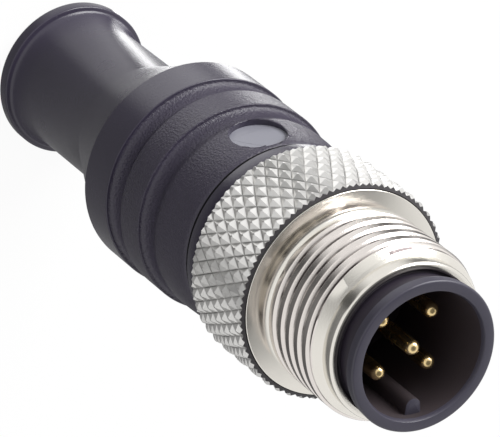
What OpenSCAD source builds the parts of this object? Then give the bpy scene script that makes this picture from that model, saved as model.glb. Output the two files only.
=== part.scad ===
// Straight M12x1 plug, A-coded, five contacts, with a moulded closed grip.
// The plug stands on the flat end of its stem: z = 0 is that end and +Z runs
// along the axis to the mating face. Millimetres.

/* [Coupling screw] */
// Major diameter of the coupling thread
thread_d = 12; // [11.6:0.1:12.6]
// Length of the threaded stretch
thread_l = 5.75; // [4.5:0.25:7]
// Diameter of the plain nose in front of the thread
nose_d = 10.74; // [10.5:0.02:10.9]
// Length of the plain nose
nose_l = 1; // [0.6:0.1:1.6]
// Diameter of the undercut behind the thread
relief_d = 10.9; // [10.5:0.1:11.2]
// Length of the undercut
relief_l = 0.3; // [0.2:0.05:0.6]
// Depth of the dished face between undercut and rim
dish_l = 0.5; // [0.3:0.05:0.8]
// Diameter over the tips of the knurl
knurl_d = 14.9; // [14.6:0.1:16]
// Depth of the knurl
knurl_depth = 0.3; // [0.2:0.02:0.4]
// Number of diamonds round the knurl
knurl_teeth = 48; // [36:4:60]
// Number of rows of diamonds along the knurl
knurl_rows = 7; // [5:1:9]
// Distance between two rows
knurl_step = 0.87; // [0.7:0.01:1]
// Distance from the last row at each end to the end face
knurl_end_l = 0.6; // [0.5:0.05:0.8]
// How far the rims beside the knurl lie below its roots
rim_inset = 0.2; // [0.1:0.01:0.25]
// Length of the narrow bore at the back of the screw
rear_bore_l = 3.95; // [3:0.05:5]

/* [Contact carrier] */
// How far the carrier stands proud of the screw
carrier_proud = 1.95; // [1.6:0.05:2.4]
// Diameter of the ring round the mating face
ring_d = 10.1; // [9.9:0.05:10.4]
// Length of that ring
ring_l = 0.75; // [0.5:0.05:1]
// Diameter of the dark groove behind the ring
groove_d = 9.24; // [9.1:0.02:9.4]
// Diameter of the carrier where it guides the screw
guide_d = 9.6; // [9.5:0.02:9.7]
// Bore of the socket that takes the mating insert
socket_d = 8.5; // [8.3:0.05:8.6]
// Depth of the socket
socket_depth = 9; // [8:0.25:9.5]
// Thickness of the socket's floor up to the contacts' collars
floor_l = 3; // [2:0.25:3.5]
// Diameter of the carrier's neck in the back of the screw
neck_d = 8.3; // [7.8:0.1:8.5]
// Width of the coding key
key_w = 1.05; // [0.8:0.05:1.2]
// Height of the coding key above the socket's wall
key_h = 1.05; // [0.8:0.05:1.2]
// How far the key's end lies behind the mating face
key_setback = 0.8; // [0.4:0.1:1.5]

/* [Contacts] */
// Diameter of a contact pin
pin_d = 1; // [0.8:0.05:1.1]
// Diameter of the circle through the outer contacts
pin_circle_d = 5; // [4.6:0.1:5.4]
// Distance of the outer tips behind the mating face
tip_setback = 1.9; // [1.4:0.1:3]
// Lead of the centre contact over the others
centre_lead = 0.9; // [0:0.1:1.2]
// Diameter of the collar that is pressed into the carrier
collar_pin_d = 1.2; // [1.1:0.05:1.4]
// Outer diameter of the solder cup
cup_d = 1.4; // [1.3:0.05:1.6]
// Inner diameter of the solder cup
cup_bore_d = 0.84; // [0.8:0.02:0.9]
// Length of the solder cup
cup_l = 2.4; // [2:0.1:3]

/* [Grip] */
// Diameter of the inner mould's collar behind the screw
collar_d = 13.4; // [13:0.1:13.8]
// Length of that collar
collar_l = 1.55; // [1.2:0.05:2]
// Diameter of the front section at its front edge
front_d = 13.3; // [13:0.1:13.7]
// Diameter of the front section where it is thickest
front_max_d = 13.76; // [13.4:0.02:14]
// Length of the front section
front_l = 5.25; // [4.8:0.05:6]
// Diameter of the middle ring
mid_d = 14.4; // [14.1:0.1:14.8]
// Length of the middle ring
mid_l = 4.1; // [3.6:0.1:5]
// Diameter of the rear ring
rear_d = 14.6; // [14.3:0.1:15]
// Length of the rear ring
rear_l = 3.05; // [2:0.05:4]
// Depth of the groove in front of each ring
grip_groove_depth = 0.48; // [0.3:0.02:0.6]
// Length of the rounded step up to each ring
grip_step_l = 0.95; // [0.6:0.05:1.2]
// Length of the cone between rear ring and stem
shoulder_l = 5.9; // [4.5:0.1:7]
// Diameter of the stem
stem_d = 9.2; // [8.6:0.1:9.8]
// Length of the plain stem
stem_l = 7.3; // [5:0.1:10]
// Length of the flare between stem and flange
flare_l = 1.9; // [1.4:0.1:2.4]
// Diameter of the flange at the end of the stem
flange_d = 10.66; // [10.2:0.02:11.4]
// Thickness of the flange
flange_l = 1.1; // [0.9:0.05:1.6]
// Diameter of the round recess in the front section
recess_d = 3.7; // [3:0.1:3.9]
// Depth of the recess below the front section
recess_depth = 0.55; // [0.3:0.05:0.7]
// Distance of the recess's centre from the front edge
recess_from_front = 2.15; // [2.05:0.05:2.4]
// Angle of the recess, seen from the mating face
recess_angle = 95; // [60:1:120]

/* [Terminating resistor] */
// Diameter of the resistor's end caps
resistor_d = 2.2; // [1.8:0.1:2.4]
// Length of the resistor over its caps
resistor_l = 6.8; // [6:0.1:7.4]
// Diameter of the leads
lead_d = 0.6; // [0.5:0.02:0.64]
// Distance from the solder cups to the resistor
lead_l = 2.9; // [2:0.1:3.4]
// Outer diameter of the sleeve on the returning lead
sleeve_d = 1.1; // [1:0.05:1.2]
// Diameter of the inner mould's core
core_d = 10.6; // [10:0.1:11]

/* [Clearances] */
// Radial running clearance between screw and carrier
run_gap = 0.05; // [0.03:0.01:0.1]
// Axial play of the screw at each end
play = 0.3; // [0.2:0.05:0.4]
// Gap round each piece that is moulded in
mould_gap = 0.02; // [0.01:0.01:0.05]
// Radial clearance of the leads in cups and sleeve
lead_gap = 0.03; // [0.02:0.01:0.05]

/* [Hidden] */
$fn = 96;
eps = 0.01;

// Heights, from the end of the stem up to the mating face
z_flare = flange_l;
z_stem = z_flare + flare_l;
z_shoulder = z_stem + stem_l;
z_rear = z_shoulder + shoulder_l;
z_mid = z_rear + rear_l;
z_front = z_mid + mid_l;
z_collar = z_front + front_l;
z_collar_top = z_collar + collar_l;
z_screw = z_collar_top + play;
z_rim = z_screw + (knurl_rows - 1) * knurl_step + 2 * knurl_end_l;
z_relief = z_rim + dish_l;
z_thread = z_relief + relief_l;
z_nose = z_thread + thread_l;
z_screw_top = z_nose + nose_l;
z_face = z_screw_top + carrier_proud;

// Carrier and contacts
z_step = z_screw + rear_bore_l;
z_shoulder_in = z_step + play;
z_floor = z_face - socket_depth;
z_pin_collar = z_floor - floor_l;
neck_hold = 0.95;
z_neck_end = z_collar_top - neck_hold;
z_cup_end = z_neck_end - cup_l;
z_tip = z_face - tip_setback;
cup_bore_l = 1.9;
cup_open_l = 1.3;
pin_gap = 0.01;
ring_blend = 0.5;
socket_chamfer = 0.12;
neck_groove = 0.35;
neck_land = 0.25;

// Resistor, its leads and the core round them
z_cap_front = z_cup_end - lead_l;
z_cap_rear = z_cap_front - resistor_l;
cap_l = 1.1;
cap_wall = 0.15;
bend_r = pin_circle_d / 4;
lead_tail = 0.7;
z_bend = z_cap_rear - lead_tail;
core_cover = 1.15;
z_core = z_bend - bend_r - core_cover;
lead_start = z_cup_end + cup_bore_l - 0.1;
sleeve_from = z_bend + 0.4;
sleeve_to = z_cup_end - 0.9;
lead_angle = 225;

// Radii and small edges
screw_bore_r = guide_d / 2 + run_gap;
rear_bore_r = neck_d / 2 + run_gap;
knurl_root_r = knurl_d / 2 - knurl_depth;
rim_r = knurl_root_r - rim_inset;
dish_w = 0.95;
dish_edge = 0.12;
knurl_cut_l = 0.3;
knurl_seat = 0.3;
knurl_seat_l = 0.05;
thread_run = 0.3;
nose_round = 0.25;
edge = 0.15;
flange_round = 0.32;
parting_w = 0.15;
parting_depth = 0.3;
core_groove_w = 1.2;
core_groove_depth = 0.5;
core_groove_back = 3.2;
core_groove_fore = 2.6;
core_chamfer = 1;
rim_lead = 60;

// Points of an arc about [cx, cy]
function arc(cx, cy, r, a0, a1, n = 6) =
    [for (i = [0:n]) let (a = a0 + (a1 - a0) * i / n) [cx + r * cos(a), cy + r * sin(a)]];

// A hollow curve that leaves a cylinder of radius r0 at height z0 and ends
// square to the axis at radius r1 and height z1
function hollow(r0, z0, r1, z1, n = 8) =
    [for (i = [0:n]) let (a = 90 * i / n) [r0 + (r1 - r0) * (1 - cos(a)), z0 + (z1 - z0) * sin(a)]];

// An even swell from one cylinder to another
function swell(r0, z0, r1, z1, n = 6) =
    [for (i = [0:n]) [r0 + (r1 - r0) * (1 - cos(180 * i / n)) / 2, z0 + (z1 - z0) * i / n]];

function reversed(list) = [for (i = [len(list) - 1:-1:0]) list[i]];

// ---- coupling screw ----

// One row of the knurl: tips and roots take turns, and the rows are staggered.
// The share t leads from this row (0) to the next (1), where they have changed over
function knurl_ring(j, z, t = 0) =
    [for (i = [0:2 * knurl_teeth - 1])
        let (a = 180 * i / knurl_teeth, h = (i + j) % 2 == 0 ? 1 - t : t, r = knurl_root_r + h * knurl_depth)
            [r * cos(a), r * sin(a), z]];

function plain_ring(r, z) =
    [for (i = [0:2 * knurl_teeth - 1]) let (a = 180 * i / knurl_teeth) [r * cos(a), r * sin(a), z]];

// Diamond knurl: a closed sleeve of pyramids, turned down at both ends. Each
// pyramid has four faces, which meet the next one's along the grooves
module knurl() {
    n = 2 * knurl_teeth;
    cut = (knurl_end_l - knurl_cut_l) / knurl_step;
    rings = concat(
        [plain_ring(rim_r - knurl_seat, z_screw + knurl_seat_l), knurl_ring(0, z_screw + knurl_cut_l, cut)],
        [for (j = [0:knurl_rows - 1]) knurl_ring(j, z_screw + knurl_end_l + j * knurl_step)],
        [knurl_ring(knurl_rows - 1, z_rim - knurl_cut_l, cut), plain_ring(rim_r - knurl_seat, z_rim - knurl_seat_l)]);
    count = len(rings);
    points = [for (ring = rings) for (p = ring) p];
    faces = [for (k = [0:count - 1]) for (i = [0:n - 1])
        let (a = k * n + i, b = k * n + (i + 1) % n,
             c = (k + 1) % count * n + (i + 1) % n, d = (k + 1) % count * n + i)
            for (t = (i + k) % 2 == 0 ? [[a, d, b], [b, d, c]] : [[a, c, b], [a, d, c]]) t];
    polyhedron(points, faces);
}

// The threaded stretch is plain here, over the crests
module coupling_screw() {
    thread_lead = (thread_d - nose_d) / 2;
    dish_r = rim_r - dish_w;
    outline = concat(
        [[rear_bore_r, z_screw], [rim_r - edge / 2, z_screw], [rim_r, z_screw + edge / 2], [rim_r, z_rim]],
        reversed(hollow(relief_d / 2, z_relief, dish_r, z_rim + dish_edge)),
        [[relief_d / 2, z_thread], [thread_d / 2, z_thread + thread_run],
         [thread_d / 2, z_nose - thread_lead], [nose_d / 2, z_nose]],
        arc(nose_d / 2 - nose_round, z_screw_top - nose_round, nose_round, 0, 90),
        [[screw_bore_r + edge, z_screw_top], [screw_bore_r, z_screw_top - edge],
         [screw_bore_r, z_step], [rear_bore_r, z_step]]);
    color("#c8c7c3") {
        rotate_extrude() polygon(outline);
        knurl();
    }
}

// ---- contact carrier ----

// Outline of the neck, grown by g where the inner mould grips it
function neck_outline(g) =
    [[0, z_neck_end - g], [neck_d / 2 + g, z_neck_end - g],
     [neck_d / 2 + g, z_neck_end + neck_land], [neck_d / 2 - neck_groove + g, z_neck_end + neck_land + 0.1],
     [neck_d / 2 - neck_groove + g, z_neck_end + 0.9 - neck_land], [neck_d / 2 + g, z_neck_end + 1 - neck_land]];

// Places of the outer contacts, seen from the mating face, and of the centre one
function contact_at(k) =
    k == 5 ? [0, 0] : pin_circle_d / 2 * [cos(135 - 90 * (k - 1)), sin(135 - 90 * (k - 1))];

module contact_carrier() {
    z_ring = z_face - ring_l;
    outline = concat(
        neck_outline(0),
        [[neck_d / 2, z_shoulder_in], [guide_d / 2, z_shoulder_in],
         [guide_d / 2, z_screw_top - 0.45], [groove_d / 2, z_screw_top - 0.25]],
        hollow(groove_d / 2, z_ring - ring_blend + 0.1, ring_d / 2, z_ring),
        arc(ring_d / 2 - edge, z_face - edge, edge, 0, 90),
        [[socket_d / 2 + socket_chamfer, z_face], [socket_d / 2, z_face - 0.35],
         [socket_d / 2, z_floor], [0, z_floor]]);
    color("#3a3843") {
        difference() {
            rotate_extrude() polygon(outline);
            for (k = [1:5]) translate(contact_at(k)) {
                translate([0, 0, z_pin_collar - eps])
                    cylinder(r = pin_d / 2 + pin_gap, h = floor_l + 2 * eps);
                translate([0, 0, z_neck_end - 1])
                    cylinder(r = collar_pin_d / 2 + pin_gap, h = z_pin_collar - z_neck_end + 1);
            }
        }
        coding_key();
    }
}

// Coding key: a tongue with a round crest along the socket's wall
module coding_key() {
    crest = socket_d / 2 - key_h;
    translate([0, 0, z_floor - eps]) linear_extrude(z_face - key_setback - z_floor + eps)
        intersection() {
            union() {
                translate([0, -crest - key_w / 2]) circle(d = key_w);
                translate([-key_w / 2, -socket_d / 2 - 0.1]) square([key_w, key_h + 0.1 - key_w / 2]);
            }
            circle(d = socket_d + 0.1);
        }
}

// ---- contacts ----

// A contact turned from one bar: round tip, shank, collar and solder cup
module contact(k) {
    lead = k == 5 ? centre_lead : 0;
    tip = z_tip + lead;
    outline = concat(
        [[0, z_cup_end + cup_bore_l], [cup_bore_d / 2, z_cup_end + cup_bore_l],
         [cup_bore_d / 2, z_cup_end], [cup_d / 2, z_cup_end],
         [cup_d / 2, z_neck_end - mould_gap], [collar_pin_d / 2, z_neck_end - mould_gap],
         [collar_pin_d / 2, z_pin_collar], [pin_d / 2, z_pin_collar]],
        arc(0, tip - pin_d / 2, pin_d / 2, 0, 90, 8));
    color("#c9a227") translate(contact_at(k)) difference() {
        rotate_extrude() polygon(outline);
        rotate(k == 5 ? 45 : 135 - 90 * (k - 1))
            translate([0, -cup_d, z_cup_end - eps]) cube([cup_d, 2 * cup_d, cup_open_l]);
    }
}

// ---- terminating resistor ----

module resistor_body() {
    inset = cap_wall + mould_gap;
    color("#b8a888") translate([0, 0, z_cap_rear + inset])
        cylinder(d = resistor_d - 2 * inset, h = resistor_l - 2 * inset);
}

// A pressed end cap; base is the closed end and way points into the resistor
module resistor_cap(base, way) {
    color("#b9bbbd") translate([0, 0, base]) mirror([0, 0, way < 0 ? 1 : 0]) difference() {
        cylinder(d = resistor_d, h = cap_l);
        translate([0, 0, cap_wall]) cylinder(d = resistor_d - 2 * cap_wall, h = cap_l);
    }
}

// Straight lead from the centre contact's cup to the front cap, grown by g
module lead_front_shape(g = 0) {
    translate([0, 0, z_cap_front]) cylinder(r = lead_d / 2 + g, h = lead_start - z_cap_front);
}

// Lead that turns back past the resistor to the cup of contact 4, grown by g
module lead_rear_shape(g = 0) {
    rotate(lead_angle) {
        translate([0, 0, z_bend]) cylinder(r = lead_d / 2 + g, h = z_cap_rear - z_bend);
        translate([bend_r, 0, z_bend]) rotate([-90, 0, 0]) rotate_extrude(angle = 180)
            translate([bend_r, 0]) circle(r = lead_d / 2 + g);
        translate([2 * bend_r, 0, z_bend]) cylinder(r = lead_d / 2 + g, h = lead_start - z_bend);
    }
}

module sleeve_shape(r) {
    rotate(lead_angle) translate([2 * bend_r, 0, sleeve_from]) cylinder(r = r, h = sleeve_to - sleeve_from);
}

module lead_sleeve() {
    color("#7a1f1f") difference() {
        sleeve_shape(sleeve_d / 2);
        rotate(lead_angle) translate([2 * bend_r, 0, sleeve_from - eps])
            cylinder(r = lead_d / 2 + lead_gap, h = sleeve_to - sleeve_from + 2 * eps);
    }
}

// Solder round a lead in the cup of contact k
module solder_joint(k) {
    from = z_cup_end + cup_open_l;
    color("#a9adb0") translate(contact_at(k)) translate([0, 0, from]) difference() {
        cylinder(r = cup_bore_d / 2 - pin_gap, h = lead_start - from);
        translate([0, 0, -eps]) cylinder(r = lead_d / 2 + pin_gap, h = lead_start - from + 2 * eps);
    }
}

// ---- inner mould and grip ----

// Outline of the core behind the collar, grown by g where the grip surrounds it
function core_outline(g) =
    let (r = core_d / 2, low = z_core, mid = (z_core + z_collar) / 2)
        concat([[0, low - g], [r - core_chamfer + g, low - g], [r + g, low + core_chamfer - g]],
               [for (at = [mid - core_groove_back, mid + core_groove_fore])
                   for (p = [[r, at], [r - core_groove_depth, at + 0.2],
                             [r - core_groove_depth, at + core_groove_w - 0.2], [r, at + core_groove_w]])
                       [p[0] + g, p[1]]],
               [[r + g, z_collar]]);

module inner_mould() {
    outline = concat(core_outline(0),
        [[collar_d / 2 - parting_depth, z_collar], [collar_d / 2 - parting_depth, z_collar + parting_w],
         [collar_d / 2, z_collar + parting_w]],
        arc(collar_d / 2 - edge, z_collar_top - edge, edge, 0, 90),
        [[0, z_collar_top]]);
    color("#45434f") difference() {
        rotate_extrude() polygon(outline);
        rotate_extrude() polygon(concat(neck_outline(mould_gap),
            [[neck_d / 2 + mould_gap, z_collar_top + 1], [0, z_collar_top + 1]]));
        for (k = [1:5]) translate(contact_at(k)) translate([0, 0, z_cup_end - mould_gap])
            cylinder(r = cup_d / 2 + mould_gap, h = cup_l + 2 * mould_gap);
        translate([0, 0, z_cap_rear - mould_gap])
            cylinder(r = resistor_d / 2 + mould_gap, h = resistor_l + 2 * mould_gap);
        lead_front_shape(mould_gap);
        lead_rear_shape(mould_gap);
        sleeve_shape(sleeve_d / 2 + mould_gap);
    }
}

// Outer outline of the grip, from the end of the stem to its front edge
function grip_outline() =
    let (stem_r = stem_d / 2, flange_r = flange_d / 2, rear_r = rear_d / 2, mid_r = mid_d / 2,
         front_r = front_max_d / 2, groove_r = mid_r - grip_groove_depth)
        concat([[0, 0]],
            arc(flange_r - flange_round, flange_round, flange_round, -90, 0),
            arc(flange_r - edge, z_flare - edge, edge, 0, rim_lead),
            reversed(hollow(stem_r, z_stem, flange_r - 1.5 * edge, z_flare)),
            [[stem_r, z_shoulder], [rear_r - 2 * edge, z_rear]],
            arc(rear_r - edge, z_rear + edge, edge, -rim_lead, 0, 4),
            arc(rear_r - edge / 2, z_mid - edge / 2, edge / 2, 0, 90, 3),
            reversed(hollow(groove_r, z_mid + grip_step_l, rear_r - edge, z_mid)),
            swell(groove_r, z_mid + grip_step_l, mid_r, z_mid + 2 * grip_step_l),
            arc(mid_r - edge / 2, z_front - edge / 2, edge / 2, 0, 90, 3),
            reversed(hollow(front_r - 0.2, z_front + grip_step_l, mid_r - edge, z_front)),
            swell(front_r - 0.2, z_front + grip_step_l, front_r, z_front + 2 * grip_step_l),
            [for (i = [1:6]) let (t = i / 6, barrel = front_r - front_d / 2,
                                  l = front_l - 2 * grip_step_l - edge / 2)
                [front_r - barrel * t * t, z_front + 2 * grip_step_l + t * l]],
            [[front_d / 2 - edge / 2, z_collar], [0, z_collar]]);

module grip_body() {
    recess_floor = front_max_d / 2 - recess_depth;
    color("#3b3944") difference() {
        rotate_extrude() polygon(grip_outline());
        rotate_extrude() polygon(concat(core_outline(mould_gap),
            [[core_d / 2 + mould_gap, z_collar + 1], [0, z_collar + 1]]));
        rotate(recess_angle) translate([recess_floor, 0, z_collar - recess_from_front])
            rotate([0, 90, 0]) cylinder(d = recess_d, h = 2);
    }
}

coupling_screw();
contact_carrier();
contact(1);  // contact_pin_1
contact(2);  // contact_pin_2
contact(3);  // contact_pin_3
contact(4);  // contact_pin_4
contact(5);  // contact_pin_5
inner_mould();
grip_body();
resistor_body();
resistor_cap(z_cap_front, -1);  // resistor_cap_front
resistor_cap(z_cap_rear, 1);  // resistor_cap_rear
color("#b9bbbd") lead_front_shape();  // resistor_lead_front
color("#b9bbbd") lead_rear_shape();  // resistor_lead_rear
lead_sleeve();
solder_joint(4);  // solder_joint_4
solder_joint(5);  // solder_joint_5
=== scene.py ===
import bpy
import math
from mathutils import Matrix, Vector

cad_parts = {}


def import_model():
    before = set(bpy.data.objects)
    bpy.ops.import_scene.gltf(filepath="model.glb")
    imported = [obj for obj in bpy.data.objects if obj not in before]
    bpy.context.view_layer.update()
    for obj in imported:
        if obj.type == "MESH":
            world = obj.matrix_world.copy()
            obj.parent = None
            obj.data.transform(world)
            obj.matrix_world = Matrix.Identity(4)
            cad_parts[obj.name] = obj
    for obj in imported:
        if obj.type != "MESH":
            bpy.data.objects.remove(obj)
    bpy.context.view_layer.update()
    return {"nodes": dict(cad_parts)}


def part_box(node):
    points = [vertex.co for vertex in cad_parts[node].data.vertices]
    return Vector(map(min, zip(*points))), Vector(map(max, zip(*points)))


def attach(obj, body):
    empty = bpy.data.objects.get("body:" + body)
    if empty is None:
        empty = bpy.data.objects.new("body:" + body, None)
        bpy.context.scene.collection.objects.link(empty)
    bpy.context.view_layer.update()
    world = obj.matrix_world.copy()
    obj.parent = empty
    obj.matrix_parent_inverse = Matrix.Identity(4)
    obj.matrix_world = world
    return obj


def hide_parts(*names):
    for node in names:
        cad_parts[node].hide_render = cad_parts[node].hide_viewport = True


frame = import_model()

MM = 0.001

# Lengths are in millimetres along the plug's axis or out from it, and angles in degrees,
# unless a comment says otherwise. Heights and radii that the frame gives:
SCREW_REAR, SCREW_TOP = (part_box("coupling_screw")[i].z / MM for i in (0, 1))
KNURL_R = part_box("coupling_screw")[1].x / MM
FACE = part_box("contact_carrier")[1].z / MM
NECK_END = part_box("contact_carrier")[0].z / MM
COLLAR_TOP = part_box("inner_mould")[1].z / MM
COLLAR_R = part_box("inner_mould")[1].x / MM
CORE_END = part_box("inner_mould")[0].z / MM
GRIP_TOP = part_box("grip_body")[1].z / MM
CUP_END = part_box("contact_pin_1")[0].z / MM
PIN_TIPS = [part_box(f"contact_pin_{k}")[1].z / MM for k in range(1, 6)]

# How finely round pieces are turned, and how near counts as the same place
TURN_STEPS = 192
PIN_STEPS = 48
CLOSE = 0.01

# Thread of the coupling screw
THREAD_R = 6.0
THREAD_L = 5.75
PITCH = 1.0
THREAD_DEPTH = 0.32
THREAD_CREST = 0.54
THREAD_FLANK = 30
THREAD_SOFT = 0.04
THREAD_TURNS = 8
THREAD_BELOW = 1.4
THREAD_ROOTED = 0.1
THREAD_SUNK = 0.02
RUN_IN_SLOPE = 1.25
RUN_IN_L = 0.42
RUN_OUT_SLOPE = 2.2

# Nose, undercut and bores of the coupling screw
NOSE_R = 5.37
NOSE_L = 1.0
NOSE_ROUND = 0.25
CONE_START, CONE_END = 0.4, 0.05
RELIEF_R = 5.45
RELIEF_L = 0.3
RELIEF_RISE = 0.1
DISH_L = 0.5
DISH_W = 0.95
DISH_EDGE = 0.1
SLEEVE_SUNK = 0.05
GUIDE_BORE_R = 4.85
GUIDE_CHAMFER = 0.12
REAR_BORE_R = 4.2
REAR_BORE_L = 3.95
REAR_CHAMFER = 0.1

# Knurl of the coupling screw, and the rim in front of it
KNURL_DEPTH = 0.3
KNURL_TEETH = 48
KNURL_STEP = 0.87
KNURL_ROWS = 7
KNURL_LEAD = 0.16
KNURL_FRONT_LEAD = 1.6
KNURL_FLAT = 0.04
KNURL_WALL = 0.4
KNURL_END_FACING = 0.6
RIM_INSET = 0.2
RIM_ROUND = 0.06
RIM_LIP = 0.2
RIM_LIP_FOOT = 0.25
RIM_DROP = 0.08
REAR_EDGE_W, REAR_EDGE_L = 0.15, 0.12
RIM_R = KNURL_R - KNURL_DEPTH - RIM_INSET
RIM_Z = SCREW_TOP - NOSE_L - THREAD_L - RELIEF_L - DISH_L
THREAD_TOP = SCREW_TOP - NOSE_L
THREAD_BOTTOM = RIM_Z + DISH_L + RELIEF_L

# Contact carrier
RING_R = 5.05
RING_L = 0.75
RING_ROUND = 0.15
RING_HOLLOW = 0.4
RING_LIP = 0.04
GROOVE_R = 4.62
GROOVE_START, GROOVE_END = 0.45, 0.25
GUIDE_R = 4.8
GUIDE_GAP = 0.3
NECK_INSET = 0.65
SOCKET_R = 4.25
SOCKET_DEPTH = 9.0
MOUTH_W = 0.14
MOUTH_L = 0.32
MOUTH_ROUND = 0.06
FINISH_EDGE = 0.02

# Coding key
KEY_W = 1.05
KEY_H = 1.05
KEY_SETBACK = 0.8
KEY_FLARE = 1.12
KEY_ROOTED = 0.1
KEY_ROUND = 0.06
KEY_TOP_L = 0.03

# Contacts
PIN_R = 0.5
PIN_CIRCLE_R = 2.5
PIN_FIRST_ANGLE = 135
PIN_APART = 90
PIN_COLLAR_R = 0.6
PIN_COLLAR_SETBACK = 3
PIN_COLLAR_END = FACE - SOCKET_DEPTH - PIN_COLLAR_SETBACK
CUP_R = 0.7
CUP_BORE_R = 0.42
CUP_DEPTH = 1.9
CUP_GAP = 0.02

# Inner mould
CORE_R = 5.3
CORE_CHAMFER = 1
MOULD_GAP = 0.02
SEAM_L = 0.3
SEAM_DEPTH = 0.6
SEAM_ROUND = 0.04
COLLAR_ROUND = 0.12
COLLAR_BORE_R = 4.2

# Grip, from its rear flange to its front band
FLANGE_R = 5.33
FLANGE_L = 1.1
FLANGE_REAR_ROUND = 0.32
FLANGE_FRONT_ROUND = 0.15
FLANGE_INSET = 0.22
FLARE_L = 1.9
STEM_R = 4.6
STEM_L = 7.3
SHOULDER_L = 5.9
SHOULDER_INSET = 0.3
SHOULDER_ROUND = 0.12
SHOULDER_LIFT = 0.16
REAR_R = 7.3
REAR_L = 3.05
MID_R = 7.2
MID_L = 4.1
FRONT_R = 6.88
FRONT_EDGE_R = 6.65
BAND_ROUND = 0.08
BAND_INSET = 0.15
GROOVE_DEPTH = 0.48
FRONT_GROOVE_DEPTH = 0.2
STEP_L = 0.95
BARREL_STEPS = 12
FRONT_CHAMFER_W, FRONT_CHAMFER_L = 0.07, 0.08

# Round recess in the grip
RECESS_R = 1.85
RECESS_DEPTH = 0.55
RECESS_FROM_FRONT = 2.15
RECESS_ANGLE = 95
RECESS_CUTTER_L = 4
RECESS_RIM_WELD = 0.045
RECESS_ROUND = 0.07
RECESS_SIDE = 5
PALE_FLOOR_INSET = 0.2

# Camera: aim in millimetres, then direction, roll, distance and lens
CAMERA_AIM = (1.165, -1.054, 23.17)
CAMERA_AZIMUTH = -132.2
CAMERA_ELEVATION = 50.9
CAMERA_ROLL = 128.5
CAMERA_DISTANCE = 290.04
CAMERA_LENS = 324
SENSOR_WIDTH = 36
NEAREST_SEEN, FARTHEST_SEEN = 0.01, 10

# Floor: its size in metres, what the lens sees of it, and its own tone
FLOOR_SIZE = 3
FLOOR_GLOW = 0.93
FLOOR_TONE = 0.07

# Soft cards on the floor, which only mirroring surfaces see. A reach says how the glow changes with the
# distance from the plug: from one distance to another in metres, then from one glow to another. A fan says
# where it spreads: its apex in millimetres, its direction, and its inner and outer half-angles.
NEAR_REACH = (0.024, 0.032, 0.27, 0.05)
FAR_REACH = (0.04, 0.12, 0.05, 0.95)
SIDE_FAN = ((0, 0), 86, 20, 44)
SIDE_RISE = (0.011, 0.019, 0.85, 1.7)
SIDE_FALL = (0.029, 0.034, 1.7, 0.9)
STRIP_FAN = ((0.5, 3.1), 13, 7, 12)
STRIP_REACH = (0.026, 0.03, 4.5, 0.5)
FLAG_FAN = ((0, 0), 141, 6, 13)
FLAG_REACH = (0.03, 0.034, 0, 1)
FLAG_SHADE = 0.05

# White cove round the horizon: its glow, the ceiling's, and the heights between which one fades to the other
COVE_LEVEL = 0.95
CEILING_LEVEL = 0.16
COVE_FADE = (0.72, 0.85)

# Key lamp: place and size in metres, power in watts
KEY_PLACE = (0.22, 0.28, 0.16)
KEY_SIZE = (0.26, 0.26)
KEY_POWER = 2.0

# Soil and painted shade in the grooves lie in patches: where the broad mottling passes from the first value
# to the second, the soil and painted shade grow from the third to the fourth
SOIL_AND_SHADE_PATCHES = (0.42, 0.56, 0.35, 1.0)
GLOSS_FROM, GLOSS_TO = 0.3, 0.7
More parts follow.
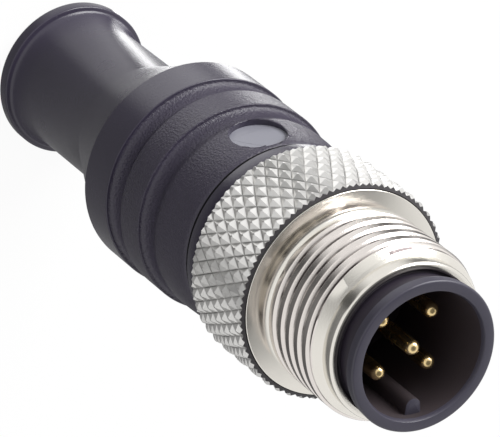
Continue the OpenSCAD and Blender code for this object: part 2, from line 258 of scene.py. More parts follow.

# Finishes: scales of the fine relief and of the broad mottling, darkest and lightest colour, least and most
# roughness, and depth of the relief; soil and painted shade gather below a groove's radius and fade in over
# a depth
FINISHES = {
    "turned_nickel": {
        "scales": (9000, 400), "dark": (0.76, 0.73, 0.67), "light": (0.86, 0.83, 0.77),
        "rough": (0.14, 0.26), "bump": 0.002, "metallic": 1.0},
    "threaded_nickel": {
        "scales": (9000, 400), "dark": (0.72, 0.67, 0.635), "light": (0.86, 0.81, 0.77),
        "rough": (0.14, 0.28), "bump": 0.003, "metallic": 1.0,
        "groove": (5.85, 0.06), "soil_and_shade": (0.07, 0.06, 0.06)},
    "knurled_nickel": {
        "scales": (7000, 600), "dark": (0.78, 0.77, 0.75), "light": (0.9, 0.89, 0.87),
        "rough": (0.28, 0.42), "bump": 0.006, "metallic": 1.0,
        "groove": (7.2, 0.06), "soil_and_shade": (0.13, 0.125, 0.125)},
    # Near black and not metallic, on the forward-facing end faces of the knurl's teeth
    "knurl_end": {
        "scales": (5000, 600), "dark": (0.02, 0.018, 0.02), "light": (0.05, 0.045, 0.05),
        "rough": (0.45, 0.6), "bump": 0.01},
    "smooth_slate": {
        "scales": (6500, 250), "dark": (0.031, 0.026, 0.045), "light": (0.042, 0.036, 0.059),
        "rough": (0.2, 0.29), "bump": 0.012},
    "grained_slate": {
        "scales": (6500, 250), "dark": (0.031, 0.026, 0.045), "light": (0.044, 0.037, 0.061),
        "rough": (0.26, 0.38), "bump": 0.075},
    # A lighter finish for the recess's floor
    "recess_slate": {
        "scales": (5000, 300), "dark": (0.2, 0.2, 0.235), "light": (0.25, 0.25, 0.29),
        "rough": (0.4, 0.5), "bump": 0.002},
    # Painted shade for the gap at the seam between grip and collar
    "seam_painted_shade": {
        "scales": (5000, 300), "dark": (0.003, 0.003, 0.004), "light": (0.006, 0.005, 0.007),
        "rough": (0.7, 0.8), "bump": 0.002},
    "carrier_slate": {
        "scales": (5000, 300), "dark": (0.04, 0.037, 0.055), "light": (0.052, 0.048, 0.07),
        "rough": (0.35, 0.45), "bump": 0.004},
    # Painted shade for the groove behind the carrier's ring
    "carrier_painted_shade": {
        "scales": (5000, 300), "dark": (0.014, 0.01, 0.018), "light": (0.022, 0.016, 0.028),
        "rough": (0.5, 0.6), "bump": 0.004},
    # Painted shade for the inside of the socket and the key's sides
    "socket_painted_shade": {
        "scales": (5000, 300), "dark": (0.026, 0.018, 0.021), "light": (0.036, 0.025, 0.029),
        "rough": (0.6, 0.7), "bump": 0.004},
    "gold_plate": {
        "scales": (9000, 500), "dark": (0.8, 0.58, 0.25), "light": (0.95, 0.76, 0.44),
        "rough": (0.2, 0.3), "bump": 0.001, "metallic": 1.0},
    "resistor_ceramic": {
        "scales": (6000, 400), "dark": (0.45, 0.38, 0.27), "light": (0.55, 0.47, 0.34),
        "rough": (0.5, 0.65), "bump": 0.004},
    "tinned_wire": {
        "scales": (9000, 400), "dark": (0.6, 0.6, 0.6), "light": (0.72, 0.72, 0.72),
        "rough": (0.25, 0.4), "bump": 0.002, "metallic": 1.0},
    "lead_sleeving": {
        "scales": (6000, 300), "dark": (0.16, 0.02, 0.02), "light": (0.22, 0.03, 0.03),
        "rough": (0.45, 0.6), "bump": 0.004},
    "solder_tin": {
        "scales": (4000, 400), "dark": (0.5, 0.5, 0.51), "light": (0.65, 0.65, 0.66),
        "rough": (0.25, 0.45), "bump": 0.01, "metallic": 1.0},
}

# Pieces inside the mouldings, which keep their own solids, and the finish of each
INNER_FINISHES = {
    "resistor_body": "resistor_ceramic",
    "resistor_cap_front": "tinned_wire",
    "resistor_cap_rear": "tinned_wire",
    "resistor_lead_front": "tinned_wire",
    "resistor_lead_rear": "tinned_wire",
    "lead_sleeve": "lead_sleeving",
    "solder_joint_4": "solder_tin",
    "solder_joint_5": "solder_tin",
}


# ---- tools of the trade ----

def deselect():
    """Object mode, with nothing selected."""
    if bpy.context.object and bpy.context.object.mode != "OBJECT":
        bpy.ops.object.mode_set(mode="OBJECT")
    bpy.ops.object.select_all(action="DESELECT")


def make_active(piece):
    """Selects one piece alone and makes it the active one."""
    deselect()
    piece.select_set(True)
    bpy.context.view_layer.objects.active = piece


def edit(piece, mode="VERT"):
    """Edit mode on one piece, with nothing selected."""
    make_active(piece)
    bpy.ops.object.mode_set(mode="EDIT")
    bpy.ops.mesh.select_mode(type=mode)
    bpy.ops.mesh.select_all(action="DESELECT")


def select_where(piece, kind, test):
    """Selects the vertices, edges or faces whose middle passes the test, in millimetres."""
    bpy.ops.object.mode_set(mode="OBJECT")
    mesh = piece.data
    for item in getattr(mesh, kind):
        if kind == "vertices":
            middle = item.co / MM
        elif kind == "edges":
            middle = (mesh.vertices[item.vertices[0]].co + mesh.vertices[item.vertices[1]].co) / 2 / MM
        else:
            middle = item.center / MM
        item.select = test(middle)
    bpy.ops.object.mode_set(mode="EDIT")


def tidy(piece, weld=2e-7):
    """Welds doubles nearer than weld, in metres, and turns the faces outwards."""
    edit(piece)
    bpy.ops.mesh.select_all(action="SELECT")
    bpy.ops.mesh.remove_doubles(threshold=weld)
    bpy.ops.mesh.normals_make_consistent(inside=False)
    bpy.ops.object.mode_set(mode="OBJECT")


def place_here(piece):
    """Puts a piece's position, turn and size into its mesh."""
    make_active(piece)
    bpy.ops.object.transform_apply(location=True, rotation=True, scale=True)


def combine(piece, tool, how="DIFFERENCE"):
    """Cuts the piece with the tool, or keeps what they share, and throws the tool away."""
    make_active(piece)
    step = piece.modifiers.new("combine", "BOOLEAN")
    step.operation = how
    step.object = tool
    step.solver = "EXACT"
    bpy.ops.object.modifier_apply(modifier=step.name)
    bpy.data.objects.remove(tool)


def shade(piece, angle=35):
    """Smooth shading, except at edges sharper than the angle."""
    make_active(piece)
    bpy.ops.object.shade_smooth_by_angle(angle=math.radians(angle))


def join(first, *others):
    """Joins pieces into the first."""
    make_active(first)
    for other in others:
        other.select_set(True)
    bpy.ops.object.join()
    return first


def paint(piece, *finishes, choose=None):
    """Gives a piece its finishes; choose picks one by a face's middle, in millimetres, and its normal."""
    piece.data.materials.clear()
    for finish in finishes:
        piece.data.materials.append(finish)
    if choose:
        for face in piece.data.polygons:
            face.material_index = choose(face.center / MM, face.normal)


def finish_piece(piece, body, slot, *nodes):
    """Tells the frame which body a piece rides on and what it stands in for; slot, what it is made of, is
    not used.
    """
    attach(piece, body)
    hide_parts(*nodes)


# ---- turning ----

def arc(r, z, radius, start, end, n=6):
    """Points of an arc about (r, z), from one angle to another."""
    steps = [math.radians(start + (end - start) * i / n) for i in range(n + 1)]
    return [(r + radius * math.cos(a), z + radius * math.sin(a)) for a in steps]


def front_edge(r, z, radius, n, end=90):
    """The rounding of an outer edge that faces the front, with its corner at (r, z)."""
    return arc(r - radius, z - radius, radius, 0, end, n)


def rear_edge(r, z, radius, n):
    """The rounding of an outer edge that faces the rear, with its corner at (r, z)."""
    return arc(r - radius, z + radius, radius, -90, 0, n)


def hollow(r0, z0, r1, z1, n=10):
    """A hollow curve that leaves radius r0 along the axis and ends square to the axis at r1."""
    steps = [math.pi / 2 * i / n for i in range(n + 1)]
    return [(r0 + (r1 - r0) * (1 - math.cos(a)), z0 + (z1 - z0) * math.sin(a)) for a in steps]


def swell(r0, z0, r1, z1, n):
    """An even swell from one cylinder to another."""
    points = []
    for i in range(n + 1):
        points.append((r0 + (r1 - r0) * (1 - math.cos(math.pi * i / n)) / 2, z0 + (z1 - z0) * i / n))
    return points


def drawn(name, outline, closed=False):
    """Draws an outline of (radius, height) point by point in the XZ plane, and stays in edit mode."""
    deselect()
    r, z = outline[0]
    bpy.ops.mesh.primitive_plane_add(size=MM, location=(r * MM, 0, z * MM))
    piece = bpy.context.object
    piece.name = piece.data.name = name
    bpy.ops.object.mode_set(mode="EDIT")
    bpy.ops.mesh.select_mode(type="VERT")
    bpy.ops.mesh.merge(type="CENTER")
    rest = outline[1:] + ([outline[0]] if closed else [])
    for next_r, next_z in rest:
        step = ((next_r - r) * MM, 0, (next_z - z) * MM)
        bpy.ops.mesh.extrude_vertices_move(TRANSFORM_OT_translate={"value": step})
        r, z = next_r, next_z
    return piece


def turned(name, outline, steps=TURN_STEPS, closed=False):
    """Draws an outline and spins it once round the axis."""
    piece = drawn(name, outline, closed)
    bpy.ops.mesh.select_all(action="SELECT")
    bpy.ops.mesh.spin(steps=steps, angle=math.tau, center=(0, 0, 0), axis=(0, 0, 1))
    place_here(piece)
    tidy(piece)
    return piece


# ---- coupling screw ----

def screw_sleeve():
    """The turned blank of the coupling screw, without thread and knurl."""
    thread_core = THREAD_R - THREAD_DEPTH - SLEEVE_SUNK
    knurl_core = RIM_R - SLEEVE_SUNK
    outline = [(REAR_BORE_R, SCREW_REAR + REAR_CHAMFER), (REAR_BORE_R + REAR_CHAMFER, SCREW_REAR)]
    outline += [(RIM_R - REAR_EDGE_W, SCREW_REAR), (knurl_core, SCREW_REAR + REAR_EDGE_L)]
    outline += [(knurl_core, RIM_Z - RIM_LIP_FOOT), (RIM_R, RIM_Z - RIM_LIP)]
    outline += front_edge(RIM_R, RIM_Z, RIM_ROUND, 4)
    outline += reversed(hollow(RELIEF_R, RIM_Z + DISH_L, RIM_R - DISH_W, RIM_Z + DISH_EDGE))
    outline += [(RELIEF_R, THREAD_BOTTOM), (thread_core, THREAD_BOTTOM + RELIEF_RISE)]
    outline += [(thread_core, THREAD_TOP - CONE_START), (NOSE_R, THREAD_TOP - CONE_END)]
    outline += front_edge(NOSE_R, SCREW_TOP, NOSE_ROUND, 8)
    outline += [(GUIDE_BORE_R + GUIDE_CHAMFER, SCREW_TOP), (GUIDE_BORE_R, SCREW_TOP - GUIDE_CHAMFER)]
    outline += [(GUIDE_BORE_R, SCREW_REAR + REAR_BORE_L), (REAR_BORE_R, SCREW_REAR + REAR_BORE_L)]
    return turned("screw_sleeve", outline, closed=True)


def thread_reach(z):
    """How far out the thread may stand at a height: it runs in from the nose and out at the undercut."""
    run_in = NOSE_R - THREAD_SUNK + (THREAD_TOP - z) * RUN_IN_SLOPE
    run_out = RELIEF_R - THREAD_SUNK + (z - THREAD_BOTTOM) * RUN_OUT_SLOPE
    return min(THREAD_R, run_in, run_out)


def thread_outline():
    """The rows of ridges that are swept: flank, flat crest and flank, softened at each corner."""
    root = THREAD_R - THREAD_DEPTH
    flank = THREAD_DEPTH * math.tan(math.radians(THREAD_FLANK))
    crest = THREAD_CREST
    soft = THREAD_SOFT
    ridge = [(root, 0), (root + soft, soft * 0.8), (THREAD_R - soft, flank - soft * 0.3)]
    ridge += [(THREAD_R, flank + z) for z in (soft, 2 * soft, crest - 2 * soft, crest - soft)]
    ridge += [(THREAD_R - soft, flank + crest + soft * 0.3), (root + soft, 2 * flank + crest - soft * 0.8)]
    ridge += [(root, 2 * flank + crest)]
    first = THREAD_BOTTOM - THREAD_BELOW
    return [(r, first + z + k * PITCH) for k in range(THREAD_TURNS) for r, z in ridge]


def screw_thread():
    """The right-handed thread: rows of ridges, swept once round while they climb by one pitch."""
    piece = drawn("screw_thread", thread_outline())
    place_here(piece)
    sweep = piece.modifiers.new("sweep", "SCREW")
    sweep.axis = "Z"
    sweep.angle = math.tau
    sweep.screw_offset = PITCH * MM
    sweep.steps = sweep.render_steps = TURN_STEPS
    bpy.ops.object.modifier_apply(modifier=sweep.name)
    for vertex in piece.data.vertices:
        reach = math.hypot(vertex.co.x, vertex.co.y)
        limit = thread_reach(vertex.co.z / MM) * MM
        if reach > limit:
            vertex.co.x *= limit / reach
            vertex.co.y *= limit / reach
    tidy(piece)
    trim_thread(piece)
    tidy(piece)
    return piece


def trim_thread(piece):
    """Trims the swept rows level at both ends and closes the thread behind its roots."""
    edit(piece, "EDGE")
    ends = (THREAD_BOTTOM - THREAD_ROOTED, 1), (THREAD_TOP + THREAD_ROOTED, -1)
    for height, way in ends:
        bpy.ops.mesh.select_all(action="SELECT")
        bpy.ops.mesh.bisect(plane_co=(0, 0, height * MM), plane_no=(0, 0, way), clear_inner=True)
    bpy.ops.mesh.select_all(action="DESELECT")
    bpy.ops.mesh.select_non_manifold()
    bpy.ops.mesh.bridge_edge_loops()


def screw_knurl():
    """Diamond knurl: rings of points on a cylinder, every other one pulled out to a tip."""
    deselect()
    count = 2 * KNURL_TEETH
    root = KNURL_R - KNURL_DEPTH
    first = SCREW_REAR + (RIM_Z - SCREW_REAR - (KNURL_ROWS - 1) * KNURL_STEP) / 2
    rows = [first + (j - 1) * KNURL_STEP for j in range(KNURL_ROWS + 2)]
    bpy.ops.mesh.primitive_circle_add(vertices=count, radius=root * MM, location=(0, 0, rows[0] * MM))
    piece = bpy.context.object
    piece.name = piece.data.name = "screw_knurl"
    bpy.ops.object.mode_set(mode="EDIT")
    bpy.ops.mesh.select_all(action="SELECT")
    for _ in rows[1:]:
        bpy.ops.mesh.extrude_region_move(TRANSFORM_OT_translate={"value": (0, 0, KNURL_STEP * MM)})
    place_here(piece)
    edit(piece)

    def is_tip(point):
        """Whether a point of the rings is one of those pulled out, like the squares of a chessboard."""
        column = round(math.atan2(point.y, point.x) / math.tau * count)
        row = round((point.z - rows[0]) / KNURL_STEP)
        return (column + row) % 2 == 0

    select_where(piece, "vertices", is_tip)
    grow = KNURL_R / root
    bpy.ops.transform.resize(value=(grow, grow, 1), center_override=(0, 0, 0))
    bpy.ops.mesh.select_all(action="SELECT")
    bpy.ops.mesh.quads_convert_to_tris(quad_method="SHORTEST_DIAGONAL")
    close_tube(piece)
    tidy(piece)
    combine(piece, knurl_envelope(), "INTERSECT")
    edit(piece)
    select_where(piece, "polygons", lambda p: math.hypot(p.x, p.y) < RIM_R - KNURL_WALL)
    bpy.ops.mesh.delete(type="FACE")
    bpy.ops.object.mode_set(mode="OBJECT")
    return piece


def knurl_envelope():
    """What the knurl is cut back to: flat tips, and a lead at either end."""
    tip = KNURL_R - KNURL_FLAT
    top = RIM_Z - RIM_DROP
    return turned("knurl_envelope", [
        (0, SCREW_REAR), (RIM_R + 0.1, SCREW_REAR), (tip, SCREW_REAR + KNURL_LEAD),
        (tip, RIM_Z - KNURL_FRONT_LEAD * KNURL_LEAD), (RIM_R + 0.05, top), (0, top)])


def close_tube(piece):
    """Caps both open ends of a tube about the axis."""
    edit(piece, "EDGE")
    bpy.ops.mesh.select_non_manifold()
    bpy.ops.mesh.edge_face_add()
    bpy.ops.object.mode_set(mode="OBJECT")


def coupling_screw(finishes):
    """Sleeve, thread and knurl as one piece; the thread's run-in is turned bright like the nose."""
    sleeve = screw_sleeve()
    shade(sleeve, 30)
    paint(sleeve, finishes["turned_nickel"])
    thread = screw_thread()
    shade(thread, 40)
    paint(thread, finishes["threaded_nickel"], finishes["turned_nickel"],
          choose=lambda middle, normal: int(middle.z > THREAD_TOP - RUN_IN_L))
    knurl = screw_knurl()
    paint(knurl, finishes["knurled_nickel"], finishes["knurl_end"],
          choose=lambda middle, normal: int(normal.z > KNURL_END_FACING))
    piece = join(sleeve, thread, knurl)
    piece.name = piece.data.name = "knurled_coupling_screw"
    finish_piece(piece, "coupling", "nickel", "coupling_screw")


# ---- contact carrier and contacts ----

def contact_carrier(finishes):
    """A ring round the mating face, a groove behind it in painted shade, the socket and its floor, and the
    key.
    """
    ring_back = FACE - RING_L
    neck_r = GUIDE_R - NECK_INSET
    guide_end = SCREW_REAR + REAR_BORE_L + GUIDE_GAP
    outline = [(0, NECK_END), (neck_r, NECK_END), (neck_r, guide_end)]
    outline += [(GUIDE_R, guide_end), (GUIDE_R, SCREW_TOP - GROOVE_START)]
    outline += [(GROOVE_R, SCREW_TOP - GROOVE_END)]
    outline += hollow(GROOVE_R, ring_back - RING_HOLLOW, RING_R - RING_LIP, ring_back)
    outline += front_edge(RING_R, FACE, RING_ROUND, 6)
    outline += arc(SOCKET_R + MOUTH_W, FACE - MOUTH_ROUND, MOUTH_ROUND, 90, 150, 3)
    outline += [(SOCKET_R, FACE - MOUTH_L), (SOCKET_R, FACE - SOCKET_DEPTH), (0, FACE - SOCKET_DEPTH)]
    piece = turned("socket_carrier", outline)
    shade(piece)
    # The groove and the inside of the socket get painted shade.
    ring, groove, socket = 0, 1, 2

    def carrier_finish(middle, normal):
        """Ring at the front, painted shade on the groove behind it and inside the socket."""
        if math.hypot(middle.x, middle.y) < SOCKET_R + FINISH_EDGE:
            return socket
        return groove if middle.z < ring_back - FINISH_EDGE else ring

    def key_finish(middle, normal):
        """The key's top is as pale as the ring; its sides get the socket's painted shade."""
        return ring if middle.z > FACE - KEY_SETBACK - KEY_TOP_L else socket

    key = coding_key()
    shade(key)
    for made, choose in ((piece, carrier_finish), (key, key_finish)):
        paint(made, finishes["carrier_slate"], finishes["carrier_painted_shade"], finishes["socket_painted_shade"],
              choose=choose)
    piece = join(piece, key)
    finish_piece(piece, "plug", "carrier_plastic", "contact_carrier")


def coding_key():
    """The coding key: a tongue with a round crest that runs down the socket's wall."""
    deselect()
    bottom, top = FACE - SOCKET_DEPTH, FACE - KEY_SETBACK
    middle = -(SOCKET_R - KEY_H + KEY_W / 2)
    bpy.ops.mesh.primitive_cylinder_add(vertices=PIN_STEPS, radius=KEY_W / 2 * MM, depth=(top - bottom) * MM,
                                        location=(0, middle * MM, (top + bottom) / 2 * MM))
    piece = bpy.context.object
    piece.name = piece.data.name = "coding_key"
    place_here(piece)
    edit(piece)
    select_where(piece, "vertices", lambda p: p.y < middle - CLOSE)
    bpy.ops.transform.resize(value=(KEY_FLARE, 0, 1), center_override=(0, middle * MM, 0))
    bpy.ops.transform.translate(value=(0, -(SOCKET_R + KEY_ROOTED + middle) * MM, 0))
    select_where(piece, "edges", lambda p: abs(p.z - top) < CLOSE)
    bpy.ops.mesh.bevel(offset=KEY_ROUND * MM, segments=2, affect="EDGES")
    tidy(piece)
    return piece


def contact_place(k):
    """Where a contact stands, in metres: four on a circle, the fifth on the axis."""
    angle = math.radians(PIN_FIRST_ANGLE - PIN_APART * (k - 1))
    reach = PIN_CIRCLE_R * MM if k < 5 else 0
    return reach * math.cos(angle), reach * math.sin(angle), 0


def contacts(finishes):
    """Five contacts, each turned from one bar: round tip, shank, pressed collar and solder cup."""
    for k, tip in enumerate(PIN_TIPS, 1):
        outline = [(0, CUP_END + CUP_DEPTH), (CUP_BORE_R, CUP_END + CUP_DEPTH), (CUP_BORE_R, CUP_END)]
        outline += [(CUP_R, CUP_END), (CUP_R, NECK_END - CUP_GAP), (PIN_COLLAR_R, NECK_END - CUP_GAP)]
        outline += [(PIN_COLLAR_R, PIN_COLLAR_END), (PIN_R, PIN_COLLAR_END)]
        outline += arc(0, tip - PIN_R, PIN_R, 0, 90, 16)
        pin = turned(f"gold_contact_{k}", outline, steps=PIN_STEPS)
        make_active(pin)
        bpy.ops.transform.translate(value=contact_place(k))
        place_here(pin)
        shade(pin, 40)
        paint(pin, finishes["gold_plate"])
        finish_piece(pin, "plug", "gold", f"contact_pin_{k}")


# ---- mouldings ----

def collar_band(finishes):
    """The inner mould: its collar shows between knurl and grip, its core lies round the resistor."""
    seam_top = GRIP_TOP + SEAM_L
    seam_floor_r = COLLAR_R - SEAM_DEPTH
    outline = [(0, CORE_END), (CORE_R - CORE_CHAMFER, CORE_END), (CORE_R, CORE_END + CORE_CHAMFER)]
    outline += [(CORE_R, GRIP_TOP - MOULD_GAP), (seam_floor_r, GRIP_TOP - MOULD_GAP)]
    outline += [(seam_floor_r, seam_top)]
    outline += rear_edge(COLLAR_R, seam_top, SEAM_ROUND, 3)
    outline += front_edge(COLLAR_R, COLLAR_TOP, COLLAR_ROUND, 5)
    outline += [(COLLAR_BORE_R, COLLAR_TOP), (COLLAR_BORE_R, NECK_END), (0, NECK_END)]
    piece = turned("mould_collar", outline)
    shade(piece)

    def in_seam(middle, normal):
        """1 for the walls and floor of the groove behind the collar's edge, which get painted shade, 0
        elsewhere.
        """
        return int(GRIP_TOP - 0.05 < middle.z < seam_top + CLOSE and normal.z < 0.5)

    # The groove behind the collar's edge gets painted shade.
    paint(piece, finishes["smooth_slate"], finishes["seam_painted_shade"], choose=in_seam)
    finish_piece(piece, "plug", "mould_plastic", "inner_mould")


def grip_outline():
    """The grip from its rear face to its front, and back along the core it is moulded over."""
    flare = FLANGE_L + FLARE_L
    shoulder = flare + STEM_L
    rear = shoulder + SHOULDER_L
    mid = rear + REAR_L
    front = mid + MID_L
    groove_r = MID_R - GROOVE_DEPTH
    front_groove_r = FRONT_R - FRONT_GROOVE_DEPTH
    outline = [(0, 0)]
    outline += rear_edge(FLANGE_R, 0, FLANGE_REAR_ROUND, 8)
    outline += front_edge(FLANGE_R, FLANGE_L, FLANGE_FRONT_ROUND, 4, end=60)
    outline += reversed(hollow(STEM_R, flare, FLANGE_R - FLANGE_INSET, FLANGE_L, 16))
    outline += [(STEM_R, shoulder), (REAR_R - SHOULDER_INSET, rear)]
    outline += arc(REAR_R - SHOULDER_ROUND, rear + SHOULDER_LIFT, SHOULDER_ROUND, -60, 0, 4)
    outline += front_edge(REAR_R, mid, BAND_ROUND, 4)
    outline += reversed(hollow(groove_r, mid + STEP_L, REAR_R - BAND_INSET, mid, 14))
    outline += swell(groove_r, mid + STEP_L, MID_R, mid + 2 * STEP_L, 12)
    outline += front_edge(MID_R, front, BAND_ROUND, 4)
    outline += reversed(hollow(front_groove_r, front + STEP_L, MID_R - BAND_INSET, front, 14))
    outline += swell(front_groove_r, front + STEP_L, FRONT_R, front + 2 * STEP_L, 12)
    crown_start = front + 2 * STEP_L
    crown_l = GRIP_TOP - FRONT_CHAMFER_L - crown_start
    barrel = FRONT_R - FRONT_EDGE_R
    for i in range(1, BARREL_STEPS + 1):
        r = FRONT_R - barrel * (i / BARREL_STEPS) ** 2
        outline.append((r, crown_start + crown_l * i / BARREL_STEPS))
    outline += [(FRONT_EDGE_R - FRONT_CHAMFER_W, GRIP_TOP), (CORE_R + MOULD_GAP, GRIP_TOP)]
    outline += [(CORE_R + MOULD_GAP, CORE_END + (CORE_CHAMFER - MOULD_GAP))]
    outline += [(CORE_R - CORE_CHAMFER, CORE_END - MOULD_GAP), (0, CORE_END - MOULD_GAP)]
    return outline


def grip_body(finishes):
    """The grip, with its round recess cut in; the two front bands have a leather grain."""
    piece = turned("moulded_grip", grip_outline())
    deselect()
    floor_reach = FRONT_R - RECESS_DEPTH
    middle = floor_reach + RECESS_CUTTER_L / 2
    height = GRIP_TOP - RECESS_FROM_FRONT
    turn = math.radians(RECESS_ANGLE)
    bpy.ops.mesh.primitive_cylinder_add(
        vertices=PIN_STEPS * 2, radius=RECESS_R * MM, depth=RECESS_CUTTER_L * MM,
        rotation=(0, math.pi / 2, turn),
        location=(middle * math.cos(turn) * MM, middle * math.sin(turn) * MM, height * MM))
    cutter = bpy.context.object
    place_here(cutter)
    combine(piece, cutter)
    spot = Vector((math.cos(turn), math.sin(turn), 0))

    def across(point):
        """How far a point lies from the recess's own axis."""
        return math.hypot(point.x * spot.y - point.y * spot.x, point.z - height)

    def on_rim(point):
        """Whether a point lies on the recess's upper edge, clear of its floor."""
        return point.dot(spot) > floor_reach + 0.05 and abs(across(point) - RECESS_R) < CLOSE

    edit(piece, "EDGE")
    select_where(piece, "vertices", on_rim)
    bpy.ops.mesh.remove_doubles(threshold=RECESS_RIM_WELD * MM)
    select_where(piece, "edges", on_rim)
    bpy.ops.mesh.bevel(offset=RECESS_ROUND * MM, segments=3, affect="EDGES")
    bpy.ops.object.mode_set(mode="OBJECT")
    shade(piece)
    even = piece.modifiers.new("even", "WEIGHTED_NORMAL")
    even.keep_sharp = True
    bpy.ops.object.modifier_apply(modifier=even.name)
    rear_ring = FLANGE_L + FLARE_L + STEM_L + SHOULDER_L + REAR_L
    grained, smooth, pale_floor, seam = 0, 1, 2, 3

    def grip_finish(middle, normal):
        """Painted shade on the end face at the seam, a paler finish on the recess's floor; its wall is as
        smooth as the rear.
        """
        if normal.z > 0.9 and middle.z > GRIP_TOP - 0.03:
            return seam
        in_recess = middle.dot(spot) > RECESS_SIDE and across(middle) < RECESS_R + 0.1
        if in_recess and normal.dot(spot) > 0.99 and across(middle) < RECESS_R - PALE_FLOOR_INSET:
            return pale_floor
        return smooth if in_recess or middle.z < rear_ring else grained

    paint(piece, finishes["grained_slate"], finishes["smooth_slate"], finishes["recess_slate"],
          finishes["seam_painted_shade"], choose=grip_finish)
    finish_piece(piece, "plug", "grip_plastic", "grip_body")


# ---- shading steps ----

def node(tree, kind, **inputs):
    """A new node with its inputs set; an underscore in an input's name stands for a space."""
    made = tree.nodes.new(kind)
    for key, value in inputs.items():
        made.inputs[key.replace("_", " ")].default_value = value
    return made


def vector_step(tree, operation, source, value=(0, 0, 0)):
    """One step of vector arithmetic on a source and a fixed value."""
    made = tree.nodes.new("ShaderNodeVectorMath")
    made.operation = operation
    tree.links.new(source, made.inputs[0])
    made.inputs[1].default_value = value
    return made.outputs["Value" if operation in ("LENGTH", "DOT_PRODUCT") else "Vector"]


def ramp(tree, source, low, high, start, end, blend="LINEAR"):
    """Follows a source from low to high with a value that goes from start to end."""
    made = node(tree, "ShaderNodeMapRange", From_Min=low, From_Max=high, To_Min=start, To_Max=end)
    made.interpolation_type = blend
    tree.links.new(source, made.inputs["Value"])
    return made.outputs["Result"]


def combined(tree, operation, first, second, clamp=False):
    """One step of arithmetic on two sources."""
    made = tree.nodes.new("ShaderNodeMath")
    made.operation = operation
    made.use_clamp = clamp
    tree.links.new(first, made.inputs[0])
    tree.links.new(second, made.inputs[1])
    return made.outputs["Value"]


def colour_mix(tree, factor):
    """A mix of two colours, A and B."""
    made = tree.nodes.new("ShaderNodeMix")
    made.data_type = "RGBA"
    tree.links.new(factor, made.inputs["Factor"])
    return made


# ---- materials ----

def surface_group():
    """Relief and mottling at two scales, and a mask of soil and painted shade in grooves below a radius."""
    group = bpy.data.node_groups.new("surface_detail", "ShaderNodeTree")
    face = group.interface
    for name in ("Fine Scale", "Broad Scale", "Groove Radius", "Groove Fade"):
        face.new_socket(name, in_out="INPUT", socket_type="NodeSocketFloat")
    for name in ("Height", "Mottle", "Soil And Shade"):
        face.new_socket(name, in_out="OUTPUT", socket_type="NodeSocketFloat")
    start = group.nodes.new("NodeGroupInput")
    end = group.nodes.new("NodeGroupOutput")
    place = group.nodes.new("ShaderNodeTexCoord").outputs["Object"]
    fine = node(group, "ShaderNodeTexNoise", Detail=3.0, Roughness=0.6)
    broad = node(group, "ShaderNodeTexNoise", Detail=4.0, Roughness=0.5)
    for field, scale in ((fine, "Fine Scale"), (broad, "Broad Scale")):
        group.links.new(place, field.inputs["Vector"])
        group.links.new(start.outputs[scale], field.inputs["Scale"])
    reach = vector_step(group, "LENGTH", vector_step(group, "MULTIPLY", place, (1, 1, 0)))
    below = combined(group, "SUBTRACT", start.outputs["Groove Radius"], reach)
    soil_and_shade = combined(group, "DIVIDE", below, start.outputs["Groove Fade"], clamp=True)
    patches = ramp(group, broad.outputs["Fac"], *SOIL_AND_SHADE_PATCHES)
    group.links.new(fine.outputs["Fac"], end.inputs["Height"])
    group.links.new(broad.outputs["Fac"], end.inputs["Mottle"])
    group.links.new(combined(group, "MULTIPLY", soil_and_shade, patches), end.inputs["Soil And Shade"])
    return group


def base_material(name, group, scales, dark, light, rough, bump, metallic=0.0, groove=None, soil_and_shade=None):
    """Colour and roughness that vary a little over a fine relief; soil and painted shade in the grooves, if
    there are any.
    """
    made = bpy.data.materials.new(name)
    made.use_nodes = True
    tree = made.node_tree
    shader = tree.nodes["Principled BSDF"]
    shader.inputs["Metallic"].default_value = metallic
    detail = tree.nodes.new("ShaderNodeGroup")
    detail.node_tree = group
    detail.inputs["Fine Scale"].default_value = scales[0]
    detail.inputs["Broad Scale"].default_value = scales[1]
    shown = colour_mix(tree, detail.outputs["Mottle"])
    shown.inputs["A"].default_value = (*dark, 1)
    shown.inputs["B"].default_value = (*light, 1)
    # Soil and painted shade darken the grooves.
    if groove:
        detail.inputs["Groove Radius"].default_value = groove[0] * MM
        detail.inputs["Groove Fade"].default_value = groove[1] * MM
        soiled_and_shaded = colour_mix(tree, detail.outputs["Soil And Shade"])
        soiled_and_shaded.inputs["B"].default_value = (*soil_and_shade, 1)
        tree.links.new(shown.outputs["Result"], soiled_and_shaded.inputs["A"])
        shown = soiled_and_shaded
    tree.links.new(shown.outputs["Result"], shader.inputs["Base Color"])
    gloss = ramp(tree, detail.outputs["Mottle"], GLOSS_FROM, GLOSS_TO, *rough)
    tree.links.new(gloss, shader.inputs["Roughness"])
    relief = node(tree, "ShaderNodeBump", Distance=bump * MM)
    tree.links.new(detail.outputs["Height"], relief.inputs["Height"])
    tree.links.new(relief.outputs["Normal"], shader.inputs["Normal"])
    return made


# ---- studio ----

def camera():
    """A long lens that looks along the plug from above its mating face."""
    turn, rise = math.radians(CAMERA_AZIMUTH), math.radians(CAMERA_ELEVATION)
    back = Vector((math.sin(turn) * math.cos(rise), -math.cos(turn) * math.cos(rise), math.sin(rise)))
    bpy.ops.object.camera_add(location=(Vector(CAMERA_AIM) + back * CAMERA_DISTANCE) * MM)
    eye = bpy.context.object
    level = (-back).to_track_quat("-Z", "Y").to_matrix()
    eye.rotation_euler = (level @ Matrix.Rotation(math.radians(CAMERA_ROLL), 3, "Z")).to_euler()
    eye.data.lens = CAMERA_LENS
    eye.data.sensor_width = SENSOR_WIDTH
    eye.data.clip_start = NEAREST_SEEN
    eye.data.clip_end = FARTHEST_SEEN
    bpy.context.scene.camera = eye


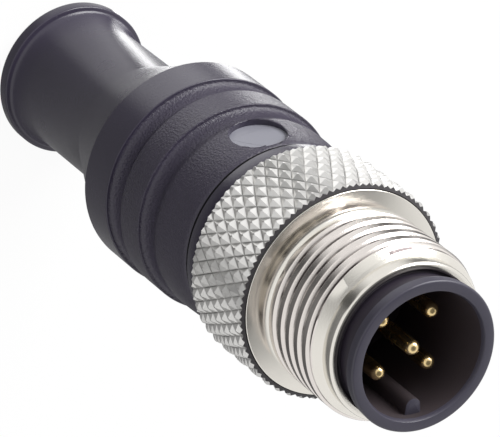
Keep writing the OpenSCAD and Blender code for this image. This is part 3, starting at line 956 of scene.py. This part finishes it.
def sector(tree, place, apex, angle, inner, outer):
    """A fan on the floor: 1 inside, fading to 0 between its two half-angles."""
    moved = vector_step(tree, "SUBTRACT", place, (apex[0] * MM, apex[1] * MM, 0))
    way = vector_step(tree, "NORMALIZE", moved)
    turn = math.radians(angle)
    along = vector_step(tree, "DOT_PRODUCT", way, (math.cos(turn), math.sin(turn), 0))
    return ramp(tree, along, math.cos(math.radians(outer)), math.cos(math.radians(inner)), 0, 1)


def floor_cards(tree):
    """How brightly the floor glows for the plastic and the metal that mirror it."""
    place = tree.nodes.new("ShaderNodeTexCoord").outputs["Object"]
    away = vector_step(tree, "LENGTH", place)
    plain = combined(tree, "MAXIMUM", ramp(tree, away, *NEAR_REACH), ramp(tree, away, *FAR_REACH))
    side_level = combined(tree, "MINIMUM", ramp(tree, away, *SIDE_RISE), ramp(tree, away, *SIDE_FALL))
    side = combined(tree, "MULTIPLY", sector(tree, place, *SIDE_FAN), side_level)
    strip = combined(tree, "MULTIPLY", sector(tree, place, *STRIP_FAN), ramp(tree, away, *STRIP_REACH))
    flag = combined(tree, "MULTIPLY", sector(tree, place, *FLAG_FAN), ramp(tree, away, *FLAG_REACH))
    lit = combined(tree, "MAXIMUM", plain, combined(tree, "MAXIMUM", side, strip))
    return combined(tree, "MULTIPLY", lit, ramp(tree, flag, 0, 1, 1, FLAG_SHADE))


def floor():
    """A pale floor that the lens sees as white, with soft cards on it that only mirroring surfaces see."""
    deselect()
    bpy.ops.mesh.primitive_plane_add(size=FLOOR_SIZE, location=(0, 0, 0))
    ground = bpy.context.object
    ground.name = "studio_floor"
    made = bpy.data.materials.new("studio_white")
    made.use_nodes = True
    tree = made.node_tree
    shader = tree.nodes["Principled BSDF"]
    shader.inputs["Base Color"].default_value = (FLOOR_TONE, FLOOR_TONE, FLOOR_TONE, 1)
    shader.inputs["Roughness"].default_value = 1
    shader.inputs["Specular IOR Level"].default_value = 0
    shader.inputs["Emission Color"].default_value = (1, 1, 1, 1)
    path = tree.nodes.new("ShaderNodeLightPath")
    mirrored = combined(tree, "MULTIPLY", path.outputs["Is Glossy Ray"], floor_cards(tree))
    seen = ramp(tree, path.outputs["Is Camera Ray"], 0, 1, 0, FLOOR_GLOW)
    tree.links.new(combined(tree, "ADD", mirrored, seen), shader.inputs["Emission Strength"])
    paint(ground, made)


def lamp(name, place, size, power):
    """A soft lamp that points at the middle of the plug; place and size in metres."""
    bpy.ops.object.light_add(type="AREA", location=place)
    made = bpy.context.object
    made.name = name
    made.data.shape = "RECTANGLE"
    made.data.size, made.data.size_y = size
    made.data.energy = power
    aim = Vector((0, 0, FACE / 2 * MM)) - Vector(place)
    made.rotation_euler = aim.to_track_quat("-Z", "Y").to_euler()


def world():
    """A white cove round the horizon that darkens towards the ceiling; the lens sees plain white."""
    sky = bpy.data.worlds.new("studio_world")
    sky.use_nodes = True
    tree = sky.node_tree
    backdrop = tree.nodes["Background"]
    backdrop.inputs["Color"].default_value = (1, 1, 1, 1)
    place = tree.nodes.new("ShaderNodeTexCoord")
    split = tree.nodes.new("ShaderNodeSeparateXYZ")
    tree.links.new(place.outputs["Generated"], split.inputs["Vector"])
    fade = ramp(tree, split.outputs["Z"], *COVE_FADE, COVE_LEVEL, CEILING_LEVEL, blend="SMOOTHSTEP")
    path = tree.nodes.new("ShaderNodeLightPath")
    seen = combined(tree, "MAXIMUM", path.outputs["Is Camera Ray"], fade)
    tree.links.new(seen, backdrop.inputs["Strength"])
    bpy.context.scene.world = sky


def lights():
    """One key lamp and the cove."""
    lamp("key_softbox", KEY_PLACE, KEY_SIZE, KEY_POWER)
    world()


# ---- assembly ----

def inner_pieces(finishes):
    """Gives the pieces inside the mouldings their finishes."""
    for name, finish in INNER_FINISHES.items():
        for slot in frame["nodes"][name].material_slots:
            slot.material = finishes[finish]


def build():
    """All the pieces, from the coupling screw back to the grip."""
    group = surface_group()
    finishes = {name: base_material(name, group, **look) for name, look in FINISHES.items()}
    coupling_screw(finishes)
    contact_carrier(finishes)
    contacts(finishes)
    collar_band(finishes)
    grip_body(finishes)
    inner_pieces(finishes)


build()
camera()
floor()
lights()
bpy.context.scene.view_settings.view_transform = "Standard"
